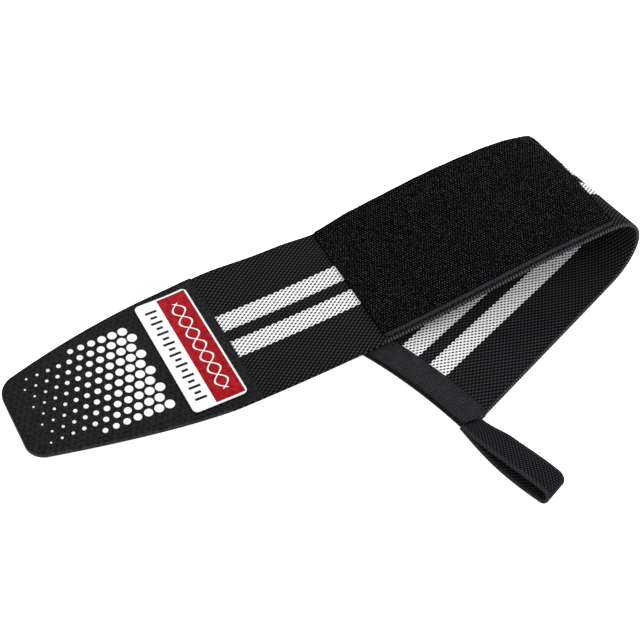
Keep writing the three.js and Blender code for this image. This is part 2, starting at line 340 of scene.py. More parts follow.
def look_from(place, target):
    """The turn of a lamp at a place whose own minus Z points at the target."""
    behind = unit(np.array(place) - np.array(target))
    side = unit(np.cross([0, 0, 1], behind))
    matrix = np.eye(4)
    matrix[:3, :3] = np.stack([side, np.cross(behind, side), behind], -1)
    matrix[:3, 3] = place
    return matrix.T.tolist()


for panel in PANELS:
    lamp = bpy.data.lights.new(panel["name"], "AREA")
    lamp.size = panel["width"]
    lamp.energy = panel["watts"]
    holder = bpy.data.objects.new(panel["name"], lamp)
    holder.matrix_world = look_from(panel["place"], (0, 0, 0))
    bpy.context.scene.collection.objects.link(holder)

room = bpy.data.worlds.new("room")
room.use_nodes = True
room.node_tree.nodes["Background"].inputs["Color"].default_value = (1, 1, 1, 1)
room.node_tree.nodes["Background"].inputs["Strength"].default_value = ROOM_LIGHT
bpy.context.scene.world = room
print(len(PANELS), "panels and a white room")

# %% [markdown]
# ## Patterns as formulas
#
# Knit, grain and print are all patterns that repeat on the flat cloth, so each can be written as a short
# formula of two numbers: the millimetres along the band and the millimetres across it. Blender's Math
# nodes can hold such a formula, but a long chain of them is hard to read in code. The small class below
# lets a node be added, multiplied and compared like a number, and the chain builds itself.


# %% A number that varies over a surface
class Field:
    """The output of a chain of Math nodes. Adding or multiplying fields adds a node to the chain."""

    def __init__(self, tree, socket):
        self.tree, self.socket = tree, socket

    def apply(self, operation, *others):
        """A Math node whose first input is this field. The others are fields or plain numbers."""
        node = self.tree.nodes.new("ShaderNodeMath")
        node.operation = operation
        for place, value in enumerate((self, *others)):
            if isinstance(value, Field):
                self.tree.links.new(value.socket, node.inputs[place])
            else:
                node.inputs[place].default_value = value
        return Field(self.tree, node.outputs[0])

    def __add__(self, other):
        return self.apply("ADD", other)

    def __sub__(self, other):
        return self.apply("SUBTRACT", other)

    def __mul__(self, other):
        return self.apply("MULTIPLY", other)

    def __neg__(self):
        return self * -1

    __radd__, __rmul__ = __add__, __mul__

    def __rsub__(self, other):
        return -self + other

    def size(self):
        """The number without its sign."""
        return self.apply("ABSOLUTE")

    def floor(self):
        """The whole number below."""
        return self.apply("FLOOR")

    def least(self, other):
        """The smaller of two numbers."""
        return self.apply("MINIMUM", other)

    def most(self, other):
        """The larger of two numbers."""
        return self.apply("MAXIMUM", other)

    def wave(self, length):
        """A cosine wave of that length, 1 where the number is 0."""
        return (self * (2 * math.pi / length)).apply("COSINE")

    def ramp(self, low, high, to_low=0.0, to_high=1.0):
        """A soft step that goes from to_low at low to to_high at high."""
        node = self.tree.nodes.new("ShaderNodeMapRange")
        node.interpolation_type = "SMOOTHSTEP"
        if low > high:
            low, high, to_low, to_high = high, low, to_high, to_low
        self.tree.links.new(self.socket, node.inputs["Value"])
        node.inputs["From Min"].default_value = low
        node.inputs["From Max"].default_value = high
        node.inputs["To Min"].default_value = to_low
        node.inputs["To Max"].default_value = to_high
        return Field(self.tree, node.outputs["Result"])

    def between(self, low, high, soft):
        """1 between low and high, 0 outside, with edges as wide as soft."""
        return self.ramp(low - soft / 2, low + soft / 2) * self.ramp(high + soft / 2, high - soft / 2)


# %% What each finish starts from, and ends in
def finish(name, roughness, specular=0.06):
    """A new material, with its even numbers set on the shader. Returns the material and its node tree."""
    material = plain_material(name, (0.5, 0.5, 0.5, 1), roughness)
    shader = material.node_tree.nodes["Principled BSDF"]
    shader.inputs["Specular IOR Level"].default_value = specular
    return material, material.node_tree


def flat_place(tree):
    """Two fields: the millimetres along the flat band and across it, from the piece's own UV map."""
    uv = tree.nodes.new("ShaderNodeUVMap")
    uv.uv_map = "laid_flat"
    split = tree.nodes.new("ShaderNodeSeparateXYZ")
    tree.links.new(uv.outputs["UV"], split.inputs["Vector"])
    return Field(tree, split.outputs["X"]), Field(tree, split.outputs["Y"])


def noise(tree, size, detail=2.0, rough=0.5):
    """Soft random spots of about that size in metres, from 0 to 1, in the object's own space."""
    place = tree.nodes.new("ShaderNodeTexCoord")
    node = tree.nodes.new("ShaderNodeTexNoise")
    node.inputs["Scale"].default_value = 1 / size
    node.inputs["Detail"].default_value = detail
    node.inputs["Roughness"].default_value = rough
    tree.links.new(place.outputs["Object"], node.inputs["Vector"])
    return Field(tree, node.outputs["Fac"])


def blend(tree, share, first, second):
    """The socket of a colour between the first one and the second one, by a share from 0 to 1."""
    node = tree.nodes.new("ShaderNodeMix")
    node.data_type = "RGBA"
    tree.links.new(share.socket, node.inputs["Factor"])
    for name, colour in (("A", first), ("B", second)):
        socket = next(s for s in node.inputs if s.name == name and s.type == "RGBA")
        if isinstance(colour, tuple):
            socket.default_value = colour
        else:
            tree.links.new(colour, socket)
    return next(s for s in node.outputs if s.type == "RGBA")


def paint(tree, colour):
    """Puts a colour socket on the shader."""
    tree.links.new(colour, tree.nodes["Principled BSDF"].inputs["Base Color"])


def emboss(tree, height, depth):
    """Raises the surface where the height field is 1 by that depth in metres, for the light only."""
    bump = tree.nodes.new("ShaderNodeBump")
    bump.inputs["Distance"].default_value = depth
    tree.links.new(height.socket, bump.inputs["Height"])
    tree.links.new(bump.outputs["Normal"], tree.nodes["Principled BSDF"].inputs["Normal"])


# %% [markdown]
# ## Meshes from grids
#
# A grid of points, rows by columns, is all that most cloth needs. Two kinds are enough here. A ring grid
# closes on itself from column to column, like a sleeve, and makes the band, the strap and the tape. A
# plate carries the profile of its rim round an outline and then closes both faces towards a line in the
# middle, and makes the cover, the hook layer, the pile and the label.


# %% Put points and faces into a mesh
def new_piece(name, points, faces, flat, material, node=None):
    """Each face is cut into two triangles, points that lie on each other are made one, and triangles that
    lose a corner are left out. The flat places go into the UV map in millimetres. The faces are turned
    outwards by the sign of the volume."""
    points = np.asarray(points, float).reshape(-1, 3)
    flat = np.asarray(flat, float).reshape(-1, 2)
    keys = np.round(points / (0.001 * MM)).astype(np.int64)
    _, first, back_to = np.unique(keys, axis=0, return_index=True, return_inverse=True)
    halves = np.concatenate([faces[:, [0, 1, 2]], faces[:, [0, 2, 3]]])
    joined = back_to.reshape(-1)[halves]
    whole = np.all(joined != np.roll(joined, 1, axis=1), axis=1)
    joined, halves, points = joined[whole], halves[whole], points[first]
    a, b, c = (points[joined[:, k]] for k in range(3))
    if np.sum(a * np.cross(b, c)) < 0:
        joined, halves = joined[:, ::-1], halves[:, ::-1]

    mesh = bpy.data.meshes.new(name)
    mesh.from_pydata(points.tolist(), [], joined.tolist())
    mesh.uv_layers.new(name="laid_flat").data.foreach_set("uv", (flat[halves.ravel()] / MM).ravel())
    mesh.polygons.foreach_set("use_smooth", np.ones(len(mesh.polygons), bool))
    mesh.materials.append(material)
    mesh.update()
    piece = bpy.data.objects.new(name, mesh)
    bpy.context.scene.collection.objects.link(piece)
    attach(piece, "root")
    if node:
        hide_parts(node)
    print(name, "has", len(mesh.polygons), "triangles")
    return piece


def grid_faces(rows, columns):
    """The four corners of each cell of a grid whose last column joins its first."""
    row = np.arange(rows - 1)[:, None] * columns
    column = np.arange(columns)[None, :]
    after = (column + 1) % columns
    cells = [row + column, row + after, row + columns + after, row + columns + column]
    return np.stack(np.broadcast_arrays(*cells), -1).reshape(-1, 4)


def stadium(columns, turns):
    """A flat section with round edges, as three lists: share, from -1 to 1 over the flat faces, and out
    and up, which go round the edges as a sine and a cosine."""
    share = np.linspace(-1, 1, columns)
    angle = np.linspace(0, math.pi, turns + 2)[1:-1]
    shares = np.concatenate([share, np.ones(turns), share[::-1], -np.ones(turns)])
    out = np.concatenate([np.zeros(columns), np.sin(angle), np.zeros(columns), -np.sin(angle)])
    up = np.concatenate([np.ones(columns), np.cos(angle), -np.ones(columns), -np.cos(angle)])
    return shares, out, up


def ring_piece(name, points, flat, material, node):
    """A sleeve from a grid of rings. Its first and last ring are drawn together to their middle."""
    ends = [points[:1].mean(1, keepdims=True), points[-1:].mean(1, keepdims=True)]
    ends = [np.broadcast_to(end, points[:1].shape) for end in ends]
    points = np.concatenate([ends[0], points, ends[1]])
    flat = np.concatenate([flat[:1], flat, flat[-1:]])
    return new_piece(name, points, grid_faces(*points.shape[:2]), flat, material, node)


# %% [markdown]
# ## The elastic band
#
# The real band is warp-knitted: rows of small holes, staggered by half a step, lie between slanted
# strokes of thick yarn, and two white stripes are knitted in with it. About five thousand holes on each
# face would be a very heavy mesh, so the holes are a formula in the material, while the mesh holds what
# shows against the light: the rounded, beaded edges and a faint swell of the yarn rows.
#
# The product of one cosine along the band and one across it is 1 at exactly such staggered places.
# Written as two slanted waves, one of them stronger than the other, it gives the slanted strokes as well.

# %% Knit
HOLE_STEP_ALONG = 3.2
HOLE_STEP_ACROSS = 2.0
STRIPE_NEAR = 3.4
STRIPE_FAR = 12.75
DOME_RISE = 1.0
SWELL_RISE = 0.3
STRIPE_SOFT = 0.12
STRONG_STROKE = 0.62
EDGE_YARN = 36.9
YARN_SWELL = 0.04 * MM


def knit(tree):
    """Four fields: the millimetres along and across, the knit, -1 on the yarn and 1 in the holes, and the
    white stripes, 0 or 1. A stripe's far edge is a row of domes, and its near edge swells softly."""
    along, across = flat_place(tree)
    slant = along * (1 / HOLE_STEP_ALONG)
    step = across * (1 / HOLE_STEP_ACROSS)
    strokes = (slant + step).wave(1)
    crossing = (slant - step).wave(1)
    knitted = strokes * STRONG_STROKE + crossing * (1 - STRONG_STROKE)
    domes = along.wave(2 * HOLE_STEP_ALONG).size() * DOME_RISE
    swells = along.wave(HOLE_STEP_ALONG) * SWELL_RISE
    stripes = None
    for far, near in ((-STRIPE_FAR, -STRIPE_NEAR), (STRIPE_NEAR, STRIPE_FAR)):
        start = far + 0.6 * DOME_RISE
        domed = (across + domes).ramp(start - STRIPE_SOFT, start + STRIPE_SOFT)
        swollen = (across - swells).ramp(near + STRIPE_SOFT, near - STRIPE_SOFT)
        stripes = domed * swollen if stripes is None else stripes.most(domed * swollen)
    return along, across, knitted, stripes


def knit_material():
    """The knit as a tone of the black yarn, and as dark holes in black and white. Painted shade darkens
    the far edge, and light dashes in a wave along, painted highlights of the whip stitches, lie on the
    near edge beside the pile."""
    material, tree = finish("knitted_elastic", roughness=0.85)
    along, across, knitted, stripes = knit(tree)
    fibre = noise(tree, 0.45 * MM, detail=3)
    broad = noise(tree, 9 * MM)
    hole = knitted.ramp(0.3, 0.8)
    yarn = (-knitted).ramp(-0.2, 1.0) * (fibre * 0.8 + 0.35) * (broad * 0.5 + 0.7)
    black = blend(tree, yarn, ink(11, 11, 13), ink(66, 66, 69))
    black = blend(tree, hole, black, ink(2, 2, 3))
    # Painted shade: the far edge is darkened, as a round edge that turns away from the light.
    far_edge_shade = (-across).ramp(EDGE_YARN, EDGE_YARN + 0.5)
    black = blend(tree, far_edge_shade, black, ink(7, 7, 8))
    # Painted highlights: light dashes where the whip stitches and beads of the near edge beside the pile
    # catch the light.
    near_edge = across.ramp(EDGE_YARN, EDGE_YARN + 0.3)
    beside_pile = along.ramp(PILE_START / MM - 5, PILE_START / MM + 5)
    whip_highlight = along.wave(HOLE_STEP_ALONG / 2).ramp(-0.3, 0.7)
    black = blend(tree, near_edge * beside_pile * whip_highlight, black, ink(84, 84, 88))
    white = blend(tree, fibre, ink(236, 236, 238), ink(254, 254, 255))
    white = blend(tree, knitted.ramp(0.14, 0.4), white, ink(4, 4, 5))
    paint(tree, blend(tree, stripes, black, white))
    emboss(tree, (-knitted) * 0.5 + fibre * 0.25, 0.24 * MM)
    return material


# %% Band
BAND_END = WRAP_LENGTH - TAPE_THICKNESS - LAYER_GAP


def elastic_band():
    """Rings of the flat section with round edges, carried along the band. The edges swell once for each
    row of holes, and the faces rise a little with the slanted yarn."""
    step = HOLE_STEP_ALONG * MM
    along = np.arange(BAND_START, BAND_END, step / 4)[:, None]
    share, out, up = (part[None, :] for part in stadium(columns=39, turns=5))
    bead = 0.5 + 0.5 * np.cos(2 * math.pi * along / (step / 2))
    round_edge = out * HALF_BAND * (0.95 + 0.5 * bead + 0.25 * (out < 0) * bead)
    across = share * (half_width_at(along) - HALF_BAND) + round_edge
    rows = across / (HOLE_STEP_ACROSS * MM) * 2 * math.pi
    swell = YARN_SWELL * np.cos(2 * math.pi * along / step + rows)
    height = up * (HALF_BAND - YARN_SWELL - swell)
    flat = np.stack(np.broadcast_arrays(along, across), -1)
    return lay(along, across, height), flat


points, flat = elastic_band()
band = ring_piece("elastic_band_knit", points, flat, knit_material(), "elastic_band")

# %% [markdown]
# ## Plates with a rim
#
# The cover, the hook layer, the label and the pile are cut pieces with a worked edge. What the eye reads
# is the rim: how round it is, and the groove that a row of stitches pulls into it. So the rim is a
# profile, a short list of how far in and how high, and it is carried round the outline. The outline is
# kept as shares of the piece's length and width, so moving it inwards only takes smaller sizes.


# %% A cut piece, its outline, and its outline moved inwards
class Cut:
    """A piece as it is cut: it runs from start to end along the band, and half_at gives half its width
    there. Its outline is two lists of shares, one along and one across."""

    def __init__(self, start, end, half_at, middle=0.0, corners=(0.0, 0.0), step=1.1 * MM):
        self.start, self.end, self.half_at, self.middle = start, end, half_at, middle
        length = end - start
        arc = 1 - np.cos(np.linspace(0, math.pi / 2, 10)[:-1])
        straight = np.linspace(corners[0], length - corners[1], math.ceil(length / step))
        side = np.concatenate([arc * corners[0], straight, length - arc[::-1] * corners[1]]) / length
        tips = [np.linspace(1, -1, math.ceil(2 * half_at(a) / step))[1:-1] for a in (start, end)]
        none, whole = (np.full(tip.shape, share) for share, tip in enumerate(tips))
        self.along = np.concatenate([none, side, whole, side[::-1]])
        self.across = np.concatenate([tips[0], -np.ones(side.shape), -tips[1], np.ones(side.shape)])

    def outline(self, inward=0.0):
        """The shares times a length that is less by two insets, and a half width that is less by one."""
        length = self.end - self.start
        half = self.half_at(self.start + self.along * length) - inward
        along = self.start + inward + self.along * (length - 2 * inward)
        return np.stack([along, self.middle + self.across * half], -1)


def round_corner(distance, radius):
    """How much a round corner takes off the half width at a distance from the end: the radius less the
    root of its square less the square of the way that is left in the corner."""
    inside = np.clip(radius - distance, 0, radius)
    return radius - np.sqrt(radius**2 - inside**2)


def round_rectangle(start, end, half, radius, middle=0.0):
    """A cut piece with one half width and four round corners."""

    def half_at(along):
        return half - round_corner(along - start, radius) - round_corner(end - along, radius)

    return Cut(start, end, half_at, middle, (radius, radius))


def plate(name, cut, rim, spine, material, node, steps=14, lift=None):
    """The rim's rows of (inward, height) are carried round the outline, top face first. Straight lines
    close both faces from the innermost rows to the nearest point of the spine. lift changes heights."""
    rings = [cut.outline(inward) for inward, _ in rim]
    heights = [np.full(len(rings[0]), height) for _, height in rim]
    start, end = np.array(spine[0]), np.array(spine[1])
    line = end - start

    def closing(ring, height, shares):
        nearest = np.clip(((ring - start) @ line) / (line @ line), 0, 1)[:, None]
        middle = start + nearest * line
        return [(ring + (middle - ring) * s, height) for s in shares]

    inwards = np.linspace(0, 1, steps + 1)
    top = closing(rings[0], heights[0], inwards[:0:-1])
    bottom = closing(rings[-1], heights[-1], inwards[1:])
    flat = np.stack([r for r, _ in top] + rings + [r for r, _ in bottom])
    height = np.stack([h for _, h in top] + heights + [h for _, h in bottom])
    if lift is not None:
        height = height + lift(flat[..., 0], flat[..., 1], height)
    points = lay(flat[..., 0], flat[..., 1], height)
    return new_piece(name, points, grid_faces(*points.shape[:2]), flat, material, node)


SEAM_INSET = 1.8 * MM
GROOVE_WIDTH = 1.6 * MM


def round_rim(top, bottom, radius, groove=0.0, depth=3.2 * MM, turns=6):
    """From the inside of the top face out over a round edge and in again below. A groove is a dip on the
    top face along the seam, the square of half a wave of a cosine."""
    rows = []
    for inward in np.linspace(depth, radius, 14):
        from_seam = np.clip((inward - SEAM_INSET) / (GROOVE_WIDTH / 2), -1, 1)
        rows.append((inward, top - groove * np.cos(from_seam * math.pi / 2) ** 2))
    for angle in np.linspace(0, math.pi / 2, turns + 1)[1:]:
        rows.append((radius * (1 - math.sin(angle)), top - radius * (1 - math.cos(angle))))
    for angle in np.linspace(0, math.pi / 2, turns + 1):
        rows.append((radius * (1 - math.cos(angle)), bottom + radius * (1 - math.sin(angle))))
    rows.append((depth, bottom))
    return rows


# %% The tab's outline
def tab_half_at(along):
    """Half the band's width, less a taper, which is a power of the way left, and less the corner."""
    left = np.clip(1 - along / TAPER_LENGTH, 0, 1)
    taper = (HALF_WIDTH - TAB_END_WIDTH / 2) * left**TAPER_POWER
    return HALF_WIDTH - taper - round_corner(along, TAB_CORNER_RADIUS)


TAB = Cut(0.0, TAB_LENGTH, tab_half_at, corners=(TAB_CORNER_RADIUS, 0.0))
print("the tab's outline has", len(TAB.outline()), "points")

# %% [markdown]
# ## The tab's cover and the hook layer
#
# The cover is a coated fabric with a fine grain and a faint pattern of small triangles. It is padded a
# little: the rim is round, and a row of stitches pulls a groove into it. Its grain is far finer than any
# mesh, so it is noise in the material, while the rim, the groove and the stitches are real shapes.
#
# The triangles come from three sets of parallel lines, each turned a third of a half turn from the last.
# Every triangle lies in its own three strips, so the three strip numbers together give it its own tone.


# %% Grain, triangles and a printed field of dots
def triangles(tree, along, across, height):
    """A random number from 0 to 1 for each triangle of that height, from the whole parts of three slanted
    distances, and how near the next line is, from 0 on a line to 0.5 in the middle of a strip."""
    straight = across * (1 / height)
    slanted = along * (math.sqrt(0.75) / height)
    strips = [straight, slanted - straight * 0.5, slanted + straight * 0.5]
    join = tree.nodes.new("ShaderNodeCombineXYZ")
    for place, strip in enumerate(strips):
        tree.links.new(strip.floor().socket, join.inputs[place])
    tone = tree.nodes.new("ShaderNodeTexWhiteNoise")
    tree.links.new(join.outputs["Vector"], tone.inputs["Vector"])
    inside = [0.5 - ((strip - strip.floor()) - 0.5).size() for strip in strips]
    return Field(tree, tone.outputs["Value"]), inside[0].least(inside[1]).least(inside[2])


DOT_STEP = 5.2
DOT_RADII = (0.35, 2.45)
DOT_GROWTH = (-1.0, 75.0)
PRINT_ALONG = (9.0, 67.0)
PRINT_MARGIN = 4.5
COVER_TRIANGLE = 2.6


def dot_field(along, across):
    """Staggered round dots. The whole part of a place gives its dot. Dots near the label are larger."""
    row = (across * (1 / DOT_STEP)).floor()
    shift = (row * 0.5 - (row * 0.5).floor()) * DOT_STEP
    moved = along + shift
    column = (moved * (1 / DOT_STEP)).floor()
    from_left = moved - (column + 0.5) * DOT_STEP
    from_top = across - (row + 0.5) * DOT_STEP
    distance = (from_left * from_left + from_top * from_top).apply("SQRT")
    middle = (column + 0.5) * DOT_STEP - shift
    radius = middle.ramp(*DOT_GROWTH, *DOT_RADII)
    dots = (radius - distance).ramp(-0.07, 0.07)
    left = (1 - middle * (MM / TAPER_LENGTH)).most(0).apply("POWER", TAPER_POWER)
    half = (HALF_WIDTH - left * (HALF_WIDTH - TAB_END_WIDTH / 2)) * (1 / MM)
    room = half - ((row + 0.5) * DOT_STEP).size() - radius
    return dots * middle.between(*PRINT_ALONG, 0.01) * room.ramp(PRINT_MARGIN - 0.01, PRINT_MARGIN)


def cover_material():
    """Grain plus a tone for each triangle, less the lines between them, and white dots over it."""
    material, tree = finish("grained_cover", roughness=0.55, specular=0.08)
    along, across = flat_place(tree)
    tone, near_line = triangles(tree, along, across, COVER_TRIANGLE)
    grain = noise(tree, 0.5 * MM, detail=4, rough=0.6)
    broad = noise(tree, 14 * MM)
    lines = near_line.ramp(0.12, 0.02)
    share = grain + tone * 0.24 + broad * 0.2 - lines * 0.4 - 0.3
    leather = blend(tree, share, ink(1, 1, 2), ink(46, 46, 49))
    dots = dot_field(along, across)
    white = blend(tree, grain, ink(226, 226, 229), ink(248, 248, 250))
    paint(tree, blend(tree, dots, leather, white))
    emboss(tree, grain * 0.7 - lines * 0.5 + dots * 0.4, 0.12 * MM)
    return material


# %% Cover
COVER_TOP = HALF_BAND + LAYER_GAP + COVER_THICKNESS
COVER_STEP = BAND_START - LAYER_GAP
COVER_GROOVE = 0.32 * MM
PUFF = 0.12 * MM
SEAM_PRESS = 0.45
SEAM_SLOPE = 5 * MM
TAB_SPINE = ((24 * MM, 0), (TAB_LENGTH - HALF_WIDTH, 0))


def seam_sink(along, height):
    """How far the cover is pressed down by its seam: a share of its height above the band, growing softly
    over the last few millimetres."""
    pressed = SEAM_PRESS * smooth((along - TAB_LENGTH + SEAM_SLOPE) / SEAM_SLOPE)
    return pressed * np.maximum(0, height - HALF_BAND - LAYER_GAP)


def cover_lift(along, across, height):
    """The underside rises over the band's end, the top has faint swells, and the seam presses it down."""
    under = (height < 0) * smooth((along - COVER_STEP + LAYER_GAP) / LAYER_GAP)
    puff = PUFF * np.sin(along / (9 * MM)) * np.sin(across / (11 * MM) + 1)
    puff = puff * (height > COVER_TOP - 0.01 * MM)
    return under * (HALF_BAND + LAYER_GAP + HALF_BAND) + puff - seam_sink(along, height)


cover_rim = round_rim(COVER_TOP, -HALF_BAND, 0.55 * MM, groove=COVER_GROOVE)
cover = plate(
    "tab_cover_stitched", TAB, cover_rim, TAB_SPINE, cover_material(), "tab_cover",
    steps=30, lift=cover_lift,
)


# %% Hook layer
def hook_material():
    """Rows of hooks: a wave along times a wave across."""
    material, tree = finish("hook_tape", roughness=0.75)
    along, across = flat_place(tree)
    hooks = (along.wave(1.6) * across.wave(1.3)).ramp(0.2, 0.8)
    paint(tree, blend(tree, hooks, ink(18, 18, 20), ink(44, 44, 47)))
    emboss(tree, hooks, 0.3 * MM)
    return material


HOOK_TOP = -HALF_BAND - LAYER_GAP
hook_cut = Cut(
    HOOK_INSET, TAB_LENGTH, lambda along: tab_half_at(along - HOOK_INSET) - HOOK_INSET,
    corners=(TAB_CORNER_RADIUS, 0.0),
)
hook_rim = round_rim(HOOK_TOP, HOOK_TOP - HOOK_THICKNESS, 0.5 * MM)
hook = plate(
    "hook_layer", hook_cut, hook_rim, TAB_SPINE, hook_material(), "hook_patch",
    steps=24,
)

# %% [markdown]
# ## Stitches
#
# A stitch is a short grain of thread that goes into the cloth at both ends. One grain is a small closed
# form of a few dozen faces. All the grains of a row are the same numbers, moved and turned as one large
# array, so a row of a hundred stitches costs no more lines than one.


# %% One grain of thread, and a row of them
GRAIN_ROUNDS = 6
GRAIN_RINGS = 6
STITCH_RISE = 0.08 * MM


def thread_rows(name, flat, height, direction, length, thickness, material):
    """One grain at each flat place: a ring of points, moved along the direction and drawn in towards both
    ends as the root of one less the square of the share, then carried onto the wrap."""
    share = np.sin(np.linspace(-math.pi / 2, math.pi / 2, GRAIN_RINGS))[:, None]
    angle = np.arange(GRAIN_ROUNDS) / GRAIN_ROUNDS * 2 * math.pi
    reach = np.sqrt(np.maximum(0, 1 - share**2))
    go = np.broadcast_to(share, (GRAIN_RINGS, GRAIN_ROUNDS)) * length / 2
    aside = reach * np.cos(angle) * thickness / 2
    raised = reach * np.sin(angle) * thickness / 2
    direction = unit(np.broadcast_to(direction, flat.shape).astype(float))
    across = np.stack([-direction[:, 1], direction[:, 0]], -1)
    place = flat[:, None, None, :] + go[..., None] * direction[:, None, None, :]
    place = place + aside[..., None] * across[:, None, None, :]
    level = np.broadcast_to(height, len(flat))[:, None, None] + raised
    points = lay(place[..., 0], place[..., 1], level)
    one = grid_faces(GRAIN_RINGS, GRAIN_ROUNDS)
    faces = one[None] + (np.arange(len(flat)) * GRAIN_RINGS * GRAIN_ROUNDS)[:, None, None]
    return new_piece(name, points, faces.reshape(-1, 4), place, material)


def thread_material(name, dark, light):
    """Two tones, mixed by a slanted wave, the thread's twist, times a fine noise. The light tone is a
    painted highlight on the crests of the twist.
    """
    material, tree = finish(name, roughness=0.6, specular=0.1)
    along, across = flat_place(tree)
    # Painted highlight: the crests of the twist get the light tone.
    twist_highlight = (along + across).wave(0.35) * 0.5 + 0.5
    paint(tree, blend(tree, twist_highlight * noise(tree, 0.6 * MM), dark, light))
    return material


def along_outline(outline, pitch):
    """Places evenly spaced along a closed outline, and the directions there, by running length."""
    closed = np.concatenate([outline, outline[:1]])
    run = np.concatenate([[0], np.cumsum(np.linalg.norm(np.diff(closed, axis=0), axis=1))])
    count = round(run[-1] / pitch)
    stops = np.arange(count) / count * run[-1]
    places = np.stack([np.interp(stops, run, closed[:, k]) for k in range(2)], -1)
    ahead = np.stack([np.interp((stops + 0.1 * MM) % run[-1], run, closed[:, k]) for k in range(2)], -1)
    return places, ahead - places


# Black thread. Its lighter tone is a painted highlight.
THREAD = thread_material("black_thread", ink(14, 14, 15), ink(84, 84, 88))
STITCH_PITCH = 2.5 * MM
places, ahead = along_outline(TAB.outline(SEAM_INSET), STITCH_PITCH)
level = COVER_TOP - COVER_GROOVE + STITCH_RISE - seam_sink(places[:, 0], COVER_TOP)
thread_rows("cover_stitches", places, level, ahead, 1.9 * MM, 0.42 * MM, THREAD)

# %% [markdown]
# ## The label
#
# The label is a thin rubber plate: white, with a red field and a raised white frame. Its print is plain:
# a row of bars like the marks of a rule on the white strip, and two waves that cross each other on the
# red field. They are formulas in the material, and a small raise gives them the light of moulded rubber.

# %% Label
LABEL_LENGTH = 27 * MM
LABEL_WIDTH = 67 * MM
LABEL_THICKNESS = 0.6 * MM
LABEL_END = 99.5 * MM
LABEL_START = LABEL_END - LABEL_LENGTH
LABEL_CORNER = 2.5 * MM
RED_START = 83.9 * MM
FRAME_WIDTH = 1.0 * MM
LABEL_TRIANGLE = 2.2
WAVE = {"length": 15.0, "swing": 3.1, "reach": 27.2}
BARS = {"step": 3.4, "reach": 29.8, "short": 1.6, "tall": 2.9}


def label_material():
    """A red field on white. Its two lines are where the place along is near the middle plus or less a wave
    across. The bars are a faster wave across, each cut off at one of two heights."""
    material, tree = finish("printed_label", roughness=0.45, specular=0.1)
    along, across = flat_place(tree)
    start, end = LABEL_START / MM, LABEL_END / MM
    half, frame_width = LABEL_WIDTH / MM / 2, FRAME_WIDTH / MM
    red_start = RED_START / MM
    red = along.between(red_start, end - frame_width, 0.15) * across.size().ramp(
        half - frame_width + 0.07, half - frame_width - 0.07
    )
    tone, near_line = triangles(tree, along, across, LABEL_TRIANGLE)
    fine = noise(tree, 0.7 * MM)
    reds = blend(tree, tone * 0.75 + fine * 0.3, ink(114, 0, 10), ink(184, 8, 27))
    whites = blend(tree, fine, ink(238, 238, 240), ink(250, 250, 251))
    middle = (red_start + end - frame_width) / 2
    swing = across.wave(WAVE["length"]) * WAVE["swing"]
    first, second = (along - middle - swing).size(), (along - middle + swing).size()
    inside = across.size().ramp(WAVE["reach"] + 0.1, WAVE["reach"] - 0.1)
    waves = first.least(second).ramp(0.5, 0.36) * inside
    strip = (start + frame_width + red_start) / 2
    bar = across.wave(BARS["step"]).ramp(0.25, 0.4)
    height = across.wave(2 * BARS["step"]).ramp(-0.2, 0.2, BARS["short"], BARS["tall"])
    inside = across.size().ramp(BARS["reach"] + 0.1, BARS["reach"] - 0.1)
    bars = bar * (height - (along - strip).size()).ramp(-0.08, 0.08) * inside
    ground = blend(tree, bars, whites, ink(22, 22, 24))
    field = blend(tree, waves, reds, whites)
    paint(tree, blend(tree, red, ground, field))
    emboss(tree, (1 - red) * 0.6 + waves * red * 0.3 + near_line * red * 0.3, 0.12 * MM)
    return material


label_cut = round_rectangle(LABEL_START, LABEL_END, LABEL_WIDTH / 2, LABEL_CORNER)
label_bottom = COVER_TOP + LAYER_GAP
label_top = label_bottom + LABEL_THICKNESS
label_rim = round_rim(label_top, label_bottom, 0.22 * MM, depth=2.4 * MM)
label_middle = (LABEL_START + LABEL_END) / 2
spine_reach = (LABEL_WIDTH - LABEL_LENGTH) / 2
label_spine = ((label_middle, -spine_reach), (label_middle, spine_reach))
plate(
    "label_plate", label_cut, label_rim, label_spine, label_material(), "label_patch",
    steps=8,
)

# %% [markdown]
# ## The loop pile
#
# The pile is a brushed fabric covered with small soft loops for the hooks to catch. It is the darkest and
# most matte place of the wrap, because light that falls between the loops does not come back. The ground
# is a plate with a soft rim. On it stand more than five thousand small loops in staggered rows, each
# leaning its own way. They are real arches, so the pile has a rough outline and true shadows.

# %% Pile ground
PILE_END = PILE_START + PILE_LENGTH
PILE_LOW = np.array([PILE_START, -HALF_WIDTH])
PILE_HIGH = np.array([PILE_END, HALF_WIDTH - PILE_BORDER])
PILE_BOTTOM = HALF_BAND + LAYER_GAP
LOOP_RISE = 0.6 * MM
ROLL_WIDTH = 1.7 * MM
ROLL_RISE = 0.35 * MM
PILE_SWELL = 0.12 * MM
PILE_CORNER = 2.5 * MM


def pile_material():
    """A dark ground of fine noise, and a lighter roll at the near edge, with slanted stitches as painted
    highlights, a wave.
    """
    material, tree = finish("loop_pile", roughness=0.95, specular=0.03)
    along, across = flat_place(tree)
    fine = noise(tree, 0.6 * MM, detail=3)
    coarse = noise(tree, 6 * MM)
    ground = blend(tree, fine * (coarse * 0.6 + 0.6), ink(1, 1, 2), ink(9, 9, 10))
    # Painted highlights: slanted light dashes of the stitches on the roll.
    whip_highlight = (along + across * 0.7 + fine).wave(1.6).ramp(-0.5, 0.6)
    roll = blend(tree, (whip_highlight * 0.4 + 0.5) * fine.ramp(0.1, 0.7), ink(10, 10, 11), ink(66, 65, 69))
    roll_start = (PILE_HIGH[1] - ROLL_WIDTH) / MM
    paint(tree, blend(tree, across.ramp(roll_start - 0.6, roll_start + 0.7), ground, roll))
    emboss(tree, fine, 0.35 * MM)
    return material


